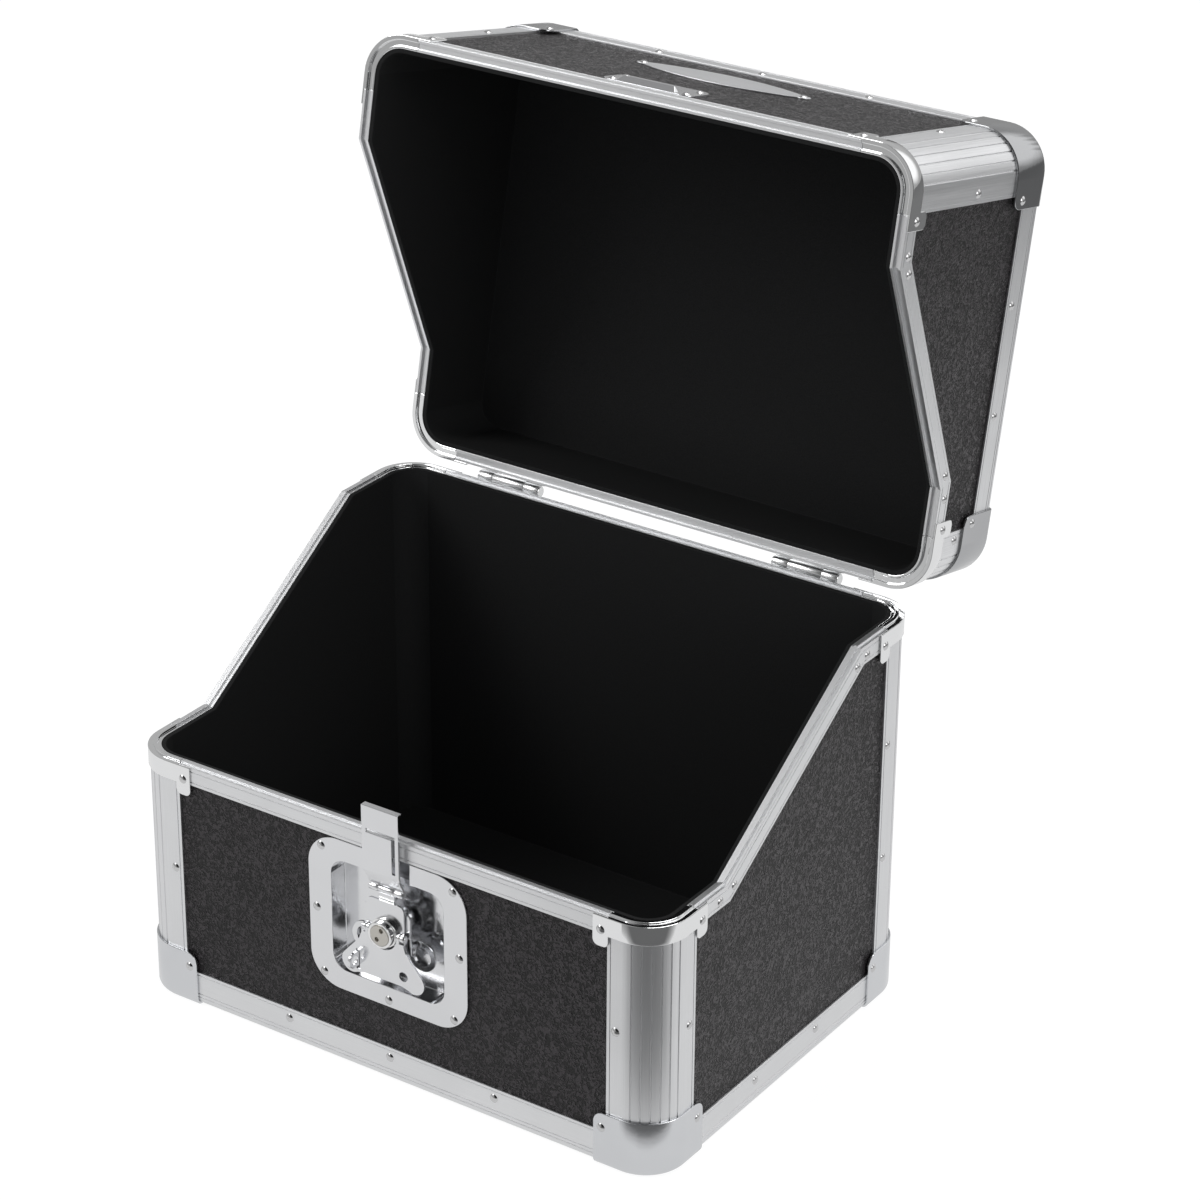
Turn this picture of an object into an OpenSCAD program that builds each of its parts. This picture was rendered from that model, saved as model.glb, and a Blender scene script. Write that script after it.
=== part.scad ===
// Record carrying case: a two-part laminated plywood box with aluminium edging.
// The parting line steps up from a low front to a high rear, so the records stand half free
// when the lid is thrown back. A recessed turn latch with a key lock and a hasp closes the front.
// Frame: X to the right, Y to the rear, Z up. The origin is under the middle of the box round the
// open case, on the plane of the four corner cups. The parts are drawn about the middle of the
// base and then moved there. The lid is drawn shut and then swung open.

/* [Case] */
// Width over the laminated panels
case_w = 386; // [360:1:420]
// Depth over the laminated panels
case_d = 277; // [264:1:300]
// Height of the shut case, over the corner cups
case_h = 336; // [325:1:360]
// Height of the parting plane at the front
front_h = 169.5; // [164:0.5:180]
// Height of the lid at the rear, from the parting plane to the top
lid_rear_depth = 74; // [66:1:82]
// Distance from the front panel to the lower bend of the parting line
low_bend = 67; // [60:1:75]
// Distance from the upper bend of the parting line to the rear panel
rear_flat = 66; // [60:1:75]
// Thickness of the plywood panels
panel_t = 6; // [5:0.5:7]
// Thickness of the lining on the walls
lining_t = 2.8; // [2.4:0.1:3.2]
// Thickness of the lining on the floor and under the top
floor_lining_t = 1.5; // [1:0.5:2]
// Drop of the lining's edge below the parting plane
lining_drop = 0.3; // [0.2:0.1:0.6]
// Radius of the upright corners at the panel face
corner_r = 25; // [24:0.5:27]
// Angle through which the lid stands open
lid_open = 102; // [90:0.5:104]

/* [Edging] */
// Thickness of the outer skin of the extrusions
skin_t = 1.3; // [1:0.1:1.5]
// Reach of a corner post's flange from the virtual corner
post_reach = 35.5; // [33:0.5:37]
// Wall between the two skins of a corner post
post_web = 1.2; // [1:0.1:1.5]
// Number of flutes round a corner post
flutes = 6; // [4:1:8]
// Radius of one flute
flute_r = 0.6; // [0.4:0.1:0.8]
// Width of the bottom and top edge extrusions on each face
edge_w = 21; // [18:0.5:23]
// Rounding of the edge extrusions
edge_r = 3; // [2.6:0.1:3.4]
// Height of the rim's outer flange
rim_h = 12.2; // [11:0.1:13]
// Thickness of the base rim's top web
rim_web = 1.5; // [1.2:0.1:1.8]
// Thickness of the lid rim's web, which holds the groove
lid_web = 3; // [2.8:0.1:3.5]
// Width of the rib on the base rim
rib_w = 2.4; // [2:0.1:2.8]
// Height of the rib on the base rim
rib_h = 1.2; // [0.8:0.1:1.4]
// Side clearance of the rib in the groove of the lid rim
rib_gap = 0.7; // [0.6:0.1:0.8]
// Gap between the two rims when the lid is shut
rim_gap = 0.4; // [0.3:0.1:0.8]

/* [Corners] */
// Sheet thickness of the corner cups
cup_t = 1.5; // [1.2:0.1:1.6]
// Reach of a corner cup along the edges
cup_reach = 43.5; // [42:0.5:46]
// Height of a corner cup up the post
cup_h = 37; // [33:1:41]
// Ease of a cup's rounding over the rounding of the edges inside it
cup_ease = 0.1; // [0:0.05:0.2]
// Rounding of the cup's ears
cup_ear_r = 7; // [5:0.5:9]
// Sheet thickness of the plated rim corners
clip_t = 1.2; // [1:0.1:1.4]
// Reach of a rim corner's ear from the virtual corner
clip_reach = 45; // [43:0.5:47]
// Width of a rim corner's ear
clip_ear_w = 11; // [10:0.5:12]
// Drop of a rim corner's ear below the parting plane
clip_drop = 20; // [18:0.5:22]
// Rounding of a rim corner's ear
clip_ear_r = 4; // [3:0.5:5]

/* [Rivets] */
// Radius of a rivet head
rivet_r = 2.9; // [2.4:0.1:3.2]
// Height of a rivet head
rivet_h = 1.3; // [1:0.1:1.6]

/* [Hinges] */
// Distance of each hinge from the middle of the case
hinge_x = 112; // [90:1:125]
// Width of a hinge leaf
hinge_w = 46; // [40:1:50]
// Height of a hinge leaf from the hinge axis
hinge_leaf_h = 36; // [32:1:40]
// Sheet thickness of the hinge leaves
hinge_t = 1.6; // [1.4:0.1:1.8]
// Radius of the hinge knuckles
knuckle_r = 4.2; // [4:0.1:4.4]
// Gap between the knuckles and the rear rims
knuckle_gap = 0.4; // [0.2:0.1:0.6]
// Radius of the hinge pin
hinge_pin_r = 1.5; // [1.3:0.1:1.7]
// Radial clearance of the pins in their knuckles
pin_gap = 0.04; // [0.02:0.01:0.08]
// Distance between the rivets of a hinge leaf
hinge_rivet_step = 15; // [13:1:17]
// Distance of those rivets from the leaf's end
hinge_rivet_in = 8; // [7:0.5:10]
// Length of the stop lug below the hinge axis
lug_h = 13.5; // [11:0.5:15]
// Thickness of the stop lug
lug_t = 2.6; // [2:0.1:3]

/* [Latch dish] */
// Width of the dish flange
dish_w = 117; // [112:1:122]
// Height of the dish flange
dish_h = 104; // [100:1:106]
// Corner rounding of the dish flange
dish_r = 22; // [18:1:26]
// Width of the recess
recess_w = 83; // [80:1:86]
// Height of the recess
recess_h = 76; // [74:1:78]
// Corner rounding of the recess
recess_r = 11; // [8:1:13]
// Depth of the recess floor behind the panel face
recess_d = 12; // [11.5:0.5:13]
// Sheet thickness of the dish
dish_t = 1.2; // [1:0.1:1.4]
// Width of the channel through which the tongue runs
channel_w = 34; // [32:0.5:36]
// Depth of that channel behind the panel face
channel_d = 3.4; // [3.2:0.1:4]
// Gap between the dish and the rim above it
dish_gap = 0.6; // [0.3:0.1:1.2]
// Height of the turn axis above the middle of the dish
axis_up = 1.5; // [0:0.5:2]

/* [Latch] */
// Lift of the tongue over half a turn
latch_lift = 10; // [8:0.5:11]
// Width of the tongue
tongue_w = 27; // [25:0.5:28]
// Sheet thickness of the tongue, yoke and keeper
latch_t = 1.6; // [1.4:0.1:1.6]
// Reach of the tongue's tip above the parting plane
tongue_up = 20.8; // [19.6:0.2:20.8]
// Distance of the tongue's outer face in front of the panel
tongue_out = 6.6; // [6.6:0.1:7]
// Length of the hook turned in at the tip
hook_len = 4.2; // [3.8:0.1:4.4]
// Height of the tongue's hinge above the turn axis
rock_up = 27; // [26.5:0.5:28]
// Radius of the tongue's knuckles
rock_r = 2.2; // [2:0.1:2.3]
// Radius of the tongue's hinge pin
rock_pin_r = 1; // [0.9:0.1:1.1]
// Width of the yoke round the eccentric
yoke_w = 34; // [33:0.5:36]
// Radius of the eccentric disc
cam_r = 8.5; // [8.5:0.1:9]
// Clearance of the eccentric in the yoke's window
cam_gap = 1.3; // [1.25:0.05:1.4]
// Radius of the rotor's spindle
spindle_r = 6; // [5:0.5:6.5]
// Distance of the rotor's ears from the turn axis, sideways
ear_x = 21; // [19:0.5:21.5]
// Distance of the rotor's ears from the turn axis, downwards
ear_z = 14; // [12:0.5:14.5]
// Radius of the rotor's ears
ear_r = 10; // [9:0.5:10]
// Radius of the finger cup pressed into each ear
ear_cup_r = 6.5; // [5:0.5:7]
// Depth of the finger cup
ear_cup_d = 2.2; // [1.5:0.1:2.5]

/* [Lock and hasp] */
// Radius of the lock cylinder
lock_r = 9.6; // [9:0.1:9.8]
// Radius of the lock's front part
lock_face_r = 8.5; // [8:0.1:8.8]
// Distance of the lock's face in front of the panel
lock_out = 9; // [8.5:0.1:9.5]
// Radius of the lock plug
plug_r = 6.8; // [6:0.1:7]
// Radial clearance of the turning lock and rotor parts
turn_gap = 0.05; // [0.03:0.01:0.08]
// Distance of the hasp's outer face in front of the panel
hasp_out = 6.4; // [6.2:0.1:6.6]
// Sheet thickness of the hasp
hasp_t = 1.4; // [1.2:0.1:1.5]
// Half width of the hasp's fixed leaf
leaf_half = 13.8; // [13.5:0.1:14.2]
// Height of the fixed leaf above the turn axis
leaf_up = 20.5; // [18:0.5:21]
// Radius of the hasp's knuckles
hasp_knuckle_r = 2.4; // [2.2:0.1:2.6]
// Radius of the hasp's pins
hasp_pin_r = 1.1; // [1:0.1:1.2]
// Distance of the flap's lobes from the turn axis, sideways
lobe_x = 23; // [22:0.5:23]
// Distance of the flap's lobes from the turn axis, downwards
lobe_z = 26.5; // [25:0.5:26.5]
// Radius of the flap's lobes
lobe_r = 7.5; // [6.5:0.5:7.5]
// Radius of the hole in the right lobe
flap_hole_r = 3.2; // [2.5:0.1:3.5]
// Thickness of the padlock eye
eye_t = 2; // [1.6:0.1:2.4]
// Height of the padlock eye
eye_h = 10; // [9:0.5:10.5]
// Radius of the hole in the padlock eye
eye_hole_r = 3; // [2.5:0.1:3.2]

/* [Keeper and badge] */
// Width of the keeper plate
keeper_w = 64; // [60:1:68]
// Height of the keeper plate
keeper_h = 27; // [24:1:30]
// Corner rounding of the keeper plate
keeper_r = 7; // [5:0.5:9]
// Gap between the lid's rim and the keeper plate
keeper_gap = 0.5; // [0.3:0.1:2]
// Width of the keeper's raised lip, which the tongue hooks over
lip_w = 36; // [32:1:38]
// Spread of the lip's sides at the plate
lip_flare = 3.5; // [3:0.5:4]
// Sheet thickness of the lip
lip_t = 1.2; // [1:0.1:1.3]
// Distance of the keeper's rivets from its edges
keeper_rivet_in = 5.8; // [5:0.1:6]
// Width of the badge plate
badge_w = 126; // [110:1:140]
// Height of the badge plate
badge_h = 38; // [30:1:44]
// Thickness of the badge plate
badge_t = 0.8; // [0.6:0.1:1]
// Height of the badge above the middle of the lid's front panel
badge_up = 25; // [0:1:30]
// Radius of the badge's ears
badge_ear_r = 4.5; // [4:0.1:5]
// Distance of the badge's rivets from its tips
badge_rivet_in = 5; // [4.5:0.1:6]

/* [Handle] */
// Distance between the handle's two pivots
handle_span = 124; // [116:1:132]
// Reach of the bail from its pivots
bail_reach = 42; // [36:1:46]
// Radius of the bail's rod
bail_r = 3.5; // [3:0.1:3.8]
// Radius of the grip
grip_r = 9; // [8:0.1:9.4]
// Length of the grip
grip_len = 98; // [88:1:100]
// Height of the pivots above the lid
handle_up = 10; // [9.6:0.1:11]
// Thickness of the handle plate
handle_plate_t = 1.6; // [1.2:0.1:2]
// Reach of the handle plate beyond the pivots
handle_plate_over = 23; // [20:1:26]
// Width of the handle plate
handle_plate_w = 34; // [30:1:38]
// Corner rounding of the handle plate and radius of its ears
handle_ear_r = 7; // [6:0.5:8]
// Thickness of the handle plate's ears
handle_ear_t = 4; // [3:0.5:4]
// Distance of the handle plate's rivets from its edges
handle_rivet_in = 6; // [5:0.5:7]

/* [Hidden] */
$fn = 64;

// Faces and planes
front_y = -case_d / 2;
rear_y = case_d / 2;
side_x = case_w / 2;
cup_out = skin_t + cup_t;
clip_out = skin_t + clip_t;
floor_z = cup_out;
roof_z = case_h - cup_out;
wall_t = panel_t + lining_t;
rear_h = case_h - lid_rear_depth;
high_bend = case_d - rear_flat;
step_angle = atan2(rear_h - front_h, high_bend - low_bend);
lid_front_h = front_h + rim_gap;
lid_rear_h = rear_h + rim_gap;
rib_at = (panel_t - skin_t) / 2;
cup_round = edge_r + cup_t - cup_ease;
rim_x = side_x - post_reach - 0.1;
rim_y0 = front_y + post_reach + 0.1;
rim_y1 = rear_y - post_reach - 0.1;

// Hinge axis of the lid, behind the rear rims and level with the gap between them
hinge_out = skin_t + knuckle_gap + knuckle_r;
hinge_y = rear_y + hinge_out;
hinge_z = rear_h + rim_gap / 2;

// Latch axis, and its layers as distances in front of the panel face
dish_z = front_h - rim_h - dish_gap - dish_h / 2;
turn_z = dish_z + axis_up;
hasp_axis_out = hasp_out - hasp_knuckle_r;
leaf_in = hasp_axis_out - hasp_knuckle_r;
yoke_out = leaf_in - 0.4;
yoke_in = yoke_out - latch_t;
plate_out = -4.6;
cam_e = latch_lift / 2;
stub_r = 2.6;
stub_in = -6;
rock_z = turn_z + rock_up;
rock_out = yoke_out - latch_t / 2;
tip_z = front_h + tongue_up;
shank_z = rock_z + 14;
bridge_top = tip_z - latch_t - 0.5;
bridge_out = tongue_out - latch_t - 0.3;
eye_x = -18.5;
eye_z = -22.5;
eye_out = hasp_out + 9.2;

// Middle of the open case's box, from its padlock eye to the rounded top edge of its lid
top_edge_y = front_y - cup_out + cup_round - hinge_y;
top_edge_z = case_h - cup_round - hinge_z;
open_rear_y = hinge_y + top_edge_y * cos(lid_open) + top_edge_z * sin(lid_open) + cup_round;
middle_y = (open_rear_y + front_y - eye_out) / 2;

// Places of rivets that more than one part shares, measured from the virtual corner
ear_rivet = 39.5;
ear_rivet_drop = 9;
cup_rivet = 38;
cup_rivet_up = 27;
post_rivet = 29.5;
edge_rivet_up = floor_z + 14;
bend_rivet = 7;
bend_rivet_drop = 7.4;

// ---- placing ----

// Draws along X, from x0 to x1, an outline given as (y, z)
module along_x(x0, x1) {
  translate([x0, 0, 0]) rotate([90, 0, 90]) linear_extrude(x1 - x0) children();
}

// Draws along Y, from y0 to y1, an outline given as (x, z)
module along_y(y0, y1) {
  translate([0, y1, 0]) rotate([90, 0, 0]) linear_extrude(y1 - y0) children();
}

module both_sides() {
  children();
  mirror([1, 0, 0]) children();
}

module both_ends() {
  children();
  mirror([0, 1, 0]) children();
}

// Both front corners; a corner piece is drawn from its virtual corner towards +X and +Y
module front_corners() {
  both_sides() translate([-side_x, front_y, 0]) children();
}

module rear_corners() {
  mirror([0, 1, 0]) front_corners() children();
}

// Moves a part from the frame of the base into the frame of the open case
module stand() {
  translate([0, -middle_y, 0]) children();
}

// Swings what is drawn on the shut case into its place on the open lid
module lid_place() {
  translate([0, hinge_y, hinge_z]) rotate([-lid_open, 0, 0])
    translate([0, -hinge_y, -hinge_z]) children();
}

// Turns a piece of the base's bottom over for the lid's top
module upside_down() {
  translate([0, 0, case_h]) mirror([0, 0, 1]) children();
}

// ---- shared outlines ----

function reversed(list) = [for (i = [len(list) - 1:-1:0]) list[i]];

// Parting line of the sides, lowered square to itself by drop
function parting(drop, y0, y1) = let (shift = drop * tan(step_angle / 2)) [
  [y0, front_h - drop],
  [front_y + low_bend + shift, front_h - drop],
  [front_y + high_bend + shift, rear_h - drop],
  [y1, rear_h - drop]
];

module parting_band(drop_top, drop_low, y0, y1) {
  polygon(concat(parting(drop_top, y0, y1), reversed(parting(drop_low, y0, y1))));
}

module below_parting(drop, y0, y1, z0) {
  polygon(concat(parting(drop, y0, y1), [[y1, z0], [y0, z0]]));
}

module above_parting(rise, y0, y1, z1) {
  polygon(concat(parting(-rise, y0, y1), [[y1, z1], [y0, z1]]));
}

module rounded_rect(w, h, r) {
  square([w - 2 * r, h], center = true);
  square([w, h - 2 * r], center = true);
  for (x = [-1, 1], y = [-1, 1])
    translate([x * (w / 2 - r), y * (h / 2 - r)]) circle(r);
}

// Plan of the case, inset from the panel face
module plan(inset) {
  rounded_rect(case_w - 2 * inset, case_d - 2 * inset, corner_r - inset);
}

// Quarter of a ring that bulges towards the virtual corner
module quarter_ring(r_out, r_in) {
  intersection() {
    difference() {
      circle(r_out);
      circle(r_in);
    }
    translate([-r_out - 1, -r_out - 1]) square(r_out + 1);
  }
}

// ---- corner posts ----

module post_section() {
  difference() {
    union() {
      translate([corner_r, corner_r]) quarter_ring(corner_r + skin_t, corner_r);
      translate([corner_r, corner_r]) quarter_ring(corner_r - panel_t + post_web, corner_r - panel_t);
      translate([corner_r, -skin_t]) square([post_reach - corner_r, skin_t]);
      translate([-skin_t, corner_r]) square([skin_t, post_reach - corner_r]);
      translate([corner_r - post_web, -skin_t / 2]) square([post_web, panel_t + skin_t / 2]);
      translate([-skin_t / 2, corner_r - post_web]) square([panel_t + skin_t / 2, post_web]);
    }
    translate([corner_r, corner_r])
      for (i = [0:flutes - 1])
        rotate(180 + 90 * (i + 1) / (flutes + 1))
          translate([corner_r + skin_t, 0]) circle(flute_r, $fn = 16);
    translate([post_reach - 2.6, -skin_t - 0.1]) square([0.6, 0.5]);
    translate([-skin_t - 0.1, post_reach - 2.6]) square([0.5, 0.6]);
  }
}

module post(z0, z1) {
  translate([0, 0, z0]) linear_extrude(z1 - z0) post_section();
}

module base_posts_front() {
  color("silver") front_corners() post(cup_round, front_h - rim_web);
}

module base_posts_rear() {
  color("silver") rear_corners() post(cup_round, rear_h - rim_web);
}

// ---- edges of the bottom and the top ----

// Section of an edge extrusion: u inwards from the panel face, v upwards from the panel's underside
module edge_section() {
  difference() {
    union() {
      translate([edge_r - skin_t, -skin_t]) square([edge_w + skin_t - edge_r, skin_t]);
      translate([-skin_t, edge_r - skin_t]) square([skin_t, edge_w + skin_t - edge_r]);
      difference() {
        translate([edge_r - skin_t, edge_r - skin_t]) circle(edge_r);
        square(2 * edge_r);
      }
    }
    for (v = [edge_r, edge_r + 2.4, edge_w - 2.2])
      translate([-skin_t - 0.1, v]) square([0.5, 0.5]);
  }
}

module edge_long() {
  color("silver") along_x(-rim_x, rim_x) translate([front_y, floor_z]) edge_section();
}

module edge_short() {
  color("silver") along_y(rim_y0, rim_y1) translate([-side_x, floor_z]) edge_section();
}

module base_edges_long() {
  both_ends() edge_long();
}

module base_edges_short() {
  both_sides() edge_short();
}

// ---- corner cups ----

// Section of a cup: u inwards from the extrusion's outer face, v upwards
module cup_section() {
  translate([cup_round - cup_t, 0]) square([corner_r + skin_t + cup_t - cup_round, cup_t]);
  translate([-cup_t, cup_round]) square([cup_t, cup_h - cup_round]);
  difference() {
    translate([cup_round - cup_t, cup_round]) circle(cup_round);
    translate([cup_round - cup_t, cup_round]) circle(cup_round - cup_t);
    translate([cup_round - cup_t, -1]) square(3 * cup_round);
    translate([-cup_t - 1, cup_round]) square(3 * cup_round);
  }
}

module cup_ear_outline() {
  square([cup_reach - cup_ear_r, cup_h]);
  square([cup_reach, cup_h - cup_ear_r]);
  translate([cup_reach - cup_ear_r, cup_h - cup_ear_r]) circle(cup_ear_r);
}

module cup_arm() {
  intersection() {
    along_x(corner_r, cup_reach) translate([-skin_t, 0]) cup_section();
    along_y(-2 * cup_out, 2 * corner_r) cup_ear_outline();
  }
}

module cup() {
  color("gainsboro") {
    cup_arm();
    mirror([1, -1, 0]) cup_arm();
    translate([corner_r, corner_r, 0]) rotate([0, 0, 180]) rotate_extrude(angle = 90)
      translate([corner_r + skin_t, 0]) mirror([1, 0]) cup_section();
  }
}

module base_cups_front() {
  front_corners() cup();
}

module base_cups_rear() {
  rear_corners() cup();
}

// ---- rims ----

// Section of a rim: u inwards from the panel face, v upwards from the parting plane
module rim_section(web) {
  translate([-skin_t, -rim_h]) square([skin_t, rim_h]);
  translate([-skin_t, -web]) square([panel_t + skin_t, web]);
}

module rib_section() {
  translate([rib_at - rib_w / 2, -0.2]) square([rib_w, rib_h + 0.2]);
}

// Room for the rib, cut down into a rim from its parting plane
module groove_section() {
  translate([rib_at - rib_w / 2 - rib_gap, -rib_h - 0.6]) square([rib_w + 2 * rib_gap, rib_h + 1.6]);
}

// Two fine lines along the outer flange of a rim
module rim_lines() {
  translate([-skin_t - 0.1, -3]) square([0.5, 0.5]);
  translate([-skin_t - 0.1, 2 - rim_h]) square([0.5, 0.5]);
}

module base_rim_section() {
  difference() {
    union() {
      rim_section(rim_web);
      rib_section();
    }
    rim_lines();
  }
}

module lid_rim_section() {
  difference() {
    rim_section(lid_web);
    groove_section();
    rim_lines();
  }
}

module base_rim_front() {
  color("silver") along_x(-rim_x, rim_x) translate([front_y, front_h]) base_rim_section();
}

module base_rim_rear() {
  color("silver") mirror([0, 1, 0]) along_x(-rim_x, rim_x)
    translate([front_y, rear_h]) base_rim_section();
}

module side_band(u0, u1, drop_top, drop_low, grow) {
  along_x(side_x - u1, side_x - u0)
    parting_band(drop_top, drop_low, rim_y0 - grow, rim_y1 + grow);
}

// Side rim of the base, drawn on the right
module base_rim_side() {
  color("silver") difference() {
    union() {
      side_band(-skin_t, 0, 0, rim_h, 0);
      side_band(-skin_t, panel_t, 0, rim_web, 0);
      side_band(rib_at - rib_w / 2, rib_at + rib_w / 2, -rib_h, 0.2, 0);
    }
    side_band(-skin_t - 1, 0.4 - skin_t, 2.5, 3, 1);
    side_band(-skin_t - 1, 0.4 - skin_t, rim_h - 2.5, rim_h - 2, 1);
  }
}

// Side rim of the lid, drawn on the right of the shut case
module lid_rim_side() {
  color("silver") translate([0, 0, rim_gap]) difference() {
    union() {
      side_band(-skin_t, 0, -rim_h, 0, 0);
      side_band(-skin_t, panel_t, -lid_web, 0, 0);
    }
    side_band(rib_at - rib_w / 2 - rib_gap, rib_at + rib_w / 2 + rib_gap, -rib_h - 0.6, 1, 1);
    side_band(-skin_t - 1, 0.4 - skin_t, -3, -2.5, 1);
    side_band(-skin_t - 1, 0.4 - skin_t, 2 - rim_h, 2.5 - rim_h, 1);
  }
}

module base_rim_right() {
  base_rim_side();
}

module base_rim_left() {
  mirror([1, 0, 0]) base_rim_side();
}

// ---- plated rim corners ----

module clip_section(web) {
  translate([-clip_out, -rim_h]) square([clip_t, rim_h]);
  translate([-clip_out, -web]) square([panel_t + clip_out, web]);
}

module clip_ear_outline() {
  translate([clip_reach - clip_ear_w, clip_ear_r - clip_drop])
    square([clip_ear_w, clip_drop - clip_ear_r]);
  translate([clip_reach - clip_ear_w + clip_ear_r, -clip_drop])
    square([clip_ear_w - 2 * clip_ear_r, clip_drop]);
  for (x = [clip_reach - clip_ear_w + clip_ear_r, clip_reach - clip_ear_r])
    translate([x, clip_ear_r - clip_drop]) circle(clip_ear_r);
}

module clip_arm() {
  along_x(corner_r, post_reach) children();
  along_y(-clip_out, -skin_t) clip_ear_outline();
}

module clip_turn() {
  translate([corner_r, corner_r, 0]) rotate([0, 0, 180]) rotate_extrude(angle = 90)
    translate([corner_r, 0]) mirror([1, 0]) children();
}

module clip() {
  color("white") {
    clip_arm() children();
    mirror([1, -1, 0]) clip_arm() children();
    clip_turn() children();
  }
}

module base_clip() {
  clip() {
    union() {
      clip_section(rim_web);
      rib_section();
    }
  }
}

// Rim corner of the lid, drawn upside down like the base's
module lid_clip() {
  clip() {
    difference() {
      clip_section(lid_web);
      groove_section();
    }
  }
}

module base_rim_corners() {
  front_corners() translate([0, 0, front_h]) base_clip();
  rear_corners() translate([0, 0, rear_h]) base_clip();
}

// ---- rivets ----

// Domed head on the plane z = 0, its axis along +Z
module rivet_head() {
  dome_r = (rivet_r * rivet_r + rivet_h * rivet_h) / (2 * rivet_h);
  rotate_extrude($fn = 32) intersection() {
    translate([0, rivet_h - dome_r]) circle(dome_r, $fn = 64);
    square([rivet_r, rivet_h]);
  }
}

// Rivet on the front, at a distance out from the panel face
module rivet_front(x, z, out) {
  translate([x, front_y - out, z]) rotate([90, 0, 0]) rivet_head();
}

module rivet_rear(x, z, out) {
  translate([x, rear_y + out, z]) rotate([-90, 0, 0]) rivet_head();
}

// Rivet on the right side
module rivet_side(y, z, out) {
  translate([side_x + out, y, z]) rotate([0, 90, 0]) rivet_head();
}

// The two rivets beside each bend of a side rim, rise above the parting line
module bend_rivets(rise) {
  c = cos(step_angle);
  s = sin(step_angle);
  rivet_side(front_y + low_bend - bend_rivet, front_h + rise, skin_t);
  step_y = bend_rivet * c;
  step_z = bend_rivet * s;
  lean = rise * s / 2;
  rivet_side(front_y + low_bend + step_y - lean, front_h + step_z + rise, skin_t);
  rivet_side(front_y + high_bend - step_y - lean, rear_h - step_z + rise, skin_t);
  rivet_side(front_y + high_bend + bend_rivet, rear_h + rise, skin_t);
}

module base_rivets() {
  front_post_z = 0.56 * front_h;
  low_post_z = 0.39 * rear_h;
  high_post_z = 0.69 * rear_h;
  color("gainsboro") {
    both_sides() {
      rivet_front(case_w / 5, edge_rivet_up, skin_t);
      rivet_rear(case_w / 5, edge_rivet_up, skin_t);
      rivet_front(side_x - cup_rivet, cup_rivet_up, cup_out);
      rivet_rear(side_x - cup_rivet, cup_rivet_up, cup_out);
      rivet_front(side_x - post_rivet, front_post_z, skin_t);
      rivet_rear(side_x - post_rivet, low_post_z, skin_t);
      rivet_rear(side_x - post_rivet, high_post_z, skin_t);
      rivet_front(side_x - ear_rivet, front_h - ear_rivet_drop, clip_out);
      rivet_rear(side_x - ear_rivet, rear_h - ear_rivet_drop, clip_out);
      rivet_side(-case_d / 8, edge_rivet_up, skin_t);
      rivet_side(case_d / 8, edge_rivet_up, skin_t);
      rivet_side(front_y + cup_rivet, cup_rivet_up, cup_out);
      rivet_side(rear_y - cup_rivet, cup_rivet_up, cup_out);
      rivet_side(front_y + post_rivet, front_post_z, skin_t);
      rivet_side(rear_y - post_rivet, low_post_z, skin_t);
      rivet_side(rear_y - post_rivet, high_post_z, skin_t);
      rivet_side(front_y + ear_rivet, front_h - ear_rivet_drop, clip_out);
      rivet_side(rear_y - ear_rivet, rear_h - ear_rivet_drop, clip_out);
      bend_rivets(-bend_rivet_drop);
    }
    rivet_front(0, edge_rivet_up, skin_t);
    rivet_rear(0, edge_rivet_up, skin_t);
  }
}

// ---- panels and lining of the base ----

// Room for the back of the latch dish in the front panel and its lining
module dish_hole() {
  along_y(front_y - 1, front_y + wall_t + 1) translate([0, dish_z])
    rounded_rect(recess_w + 2 * dish_t, recess_h + 2 * dish_t, recess_r + dish_t);
  translate([-channel_w / 2 - dish_t, front_y - 1, dish_z])
    cube([channel_w + 2 * dish_t, channel_d + dish_t + 1, dish_h / 2]);
}

module base_front_panel() {
  color("dimgray") difference() {
    translate([corner_r - side_x, front_y, floor_z])
      cube([case_w - 2 * corner_r, panel_t, front_h - rim_web - floor_z]);
    dish_hole();
  }
}

module base_rear_panel() {
  color("dimgray") translate([corner_r - side_x, rear_y - panel_t, floor_z])
    cube([case_w - 2 * corner_r, panel_t, rear_h - rim_web - floor_z]);
}

module base_right_panel() {
  color("dimgray") along_x(side_x - panel_t, side_x)
    below_parting(rim_web, front_y + corner_r, rear_y - corner_r, floor_z);
}

module base_left_panel() {
  mirror([1, 0, 0]) base_right_panel();
}

module base_floor_panel() {
  color("dimgray") translate([0, 0, floor_z]) linear_extrude(panel_t) plan(panel_t);
}

// Lining sheet round the walls, between two heights
module lining_wall(z0, z1) {
  translate([0, 0, z0]) linear_extrude(z1 - z0) difference() {
    plan(panel_t);
    plan(wall_t);
  }
}

module base_lining() {
  bottom = floor_z + panel_t;
  color("black") {
    difference() {
      intersection() {
        lining_wall(bottom, rear_h);
        along_x(-side_x, side_x) below_parting(lining_drop, front_y, rear_y, 0);
      }
      dish_hole();
    }
    translate([0, 0, bottom]) linear_extrude(floor_lining_t) plan(wall_t);
  }
}

// ---- latch dish ----

// Draws between two distances in front of the panel face an outline given from the turn axis
module layer(out_low, out_high) {
  translate([0, front_y - out_low, turn_z]) rotate([90, 0, 0])
    linear_extrude(out_high - out_low) children();
}

// Recess and channel, grown by ease on all sides
module dish_room(ease) {
  along_y(front_y - skin_t - 1, front_y + recess_d + ease) translate([0, dish_z])
    rounded_rect(recess_w + 2 * ease, recess_h + 2 * ease, recess_r + ease);
  translate([-channel_w / 2 - ease, front_y - skin_t - 1, dish_z])
    cube([channel_w + 2 * ease, channel_d + skin_t + 1 + ease, dish_h / 2 + 1]);
}

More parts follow.
